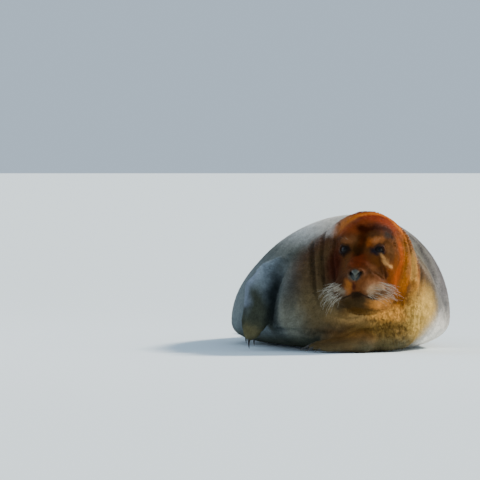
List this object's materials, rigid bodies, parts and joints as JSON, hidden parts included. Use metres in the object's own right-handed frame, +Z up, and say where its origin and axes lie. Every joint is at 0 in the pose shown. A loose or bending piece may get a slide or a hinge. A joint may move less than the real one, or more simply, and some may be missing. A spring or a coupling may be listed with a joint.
{
  "type": "bearded seal",
  "caption": "Life-size still model of a bearded seal lying on its belly, neck drawn in, head up and turned to its right, left foreflipper folded under its chin.",
  "frame": {"origin": "on the flat of the belly where it lies on the floor, below the middle of the back", "axes": "+Z up from the floor, +Y from the nose towards the hind flippers, +X to the seal's own left"},
  "size_m": [0.6812, 2.2486, 0.4246],
  "materials": {
    "coat": "short flat fur, grey above, tan about the neck",
    "face": "short flat fur stained rust, with a dark crown",
    "flipper": "short dark olive-brown fur",
    "eye": "wet black",
    "claw": "dark horn"
  },
  "bodies": {
    "root": {"eye_left": "eye", "eye_right": "eye", "head": "face", "muzzle": "face", "lower_jaw": "face", "neck": "coat", "chest": "coat", "shoulders": "coat", "trunk": "coat", "hips": "coat", "tail": "coat", "foreflipper_right": "flipper", "claw_foreflipper_right_1": "claw", "claw_foreflipper_right_2": "claw", "claw_foreflipper_right_3": "claw", "claw_foreflipper_right_4": "claw", "claw_foreflipper_right_5": "claw", "foreflipper_left": "flipper", "claw_foreflipper_left_1": "claw", "claw_foreflipper_left_2": "claw", "claw_foreflipper_left_3": "claw", "claw_foreflipper_left_4": "claw", "claw_foreflipper_left_5": "claw", "hindflipper_right": "flipper", "claw_hindflipper_right_1": "claw", "claw_hindflipper_right_2": "claw", "claw_hindflipper_right_3": "claw", "claw_hindflipper_right_4": "claw", "claw_hindflipper_right_5": "claw", "hindflipper_left": "flipper", "claw_hindflipper_left_1": "claw", "claw_hindflipper_left_2": "claw", "claw_hindflipper_left_3": "claw", "claw_hindflipper_left_4": "claw", "claw_hindflipper_left_5": "claw"}
  },
  "joints": []
}
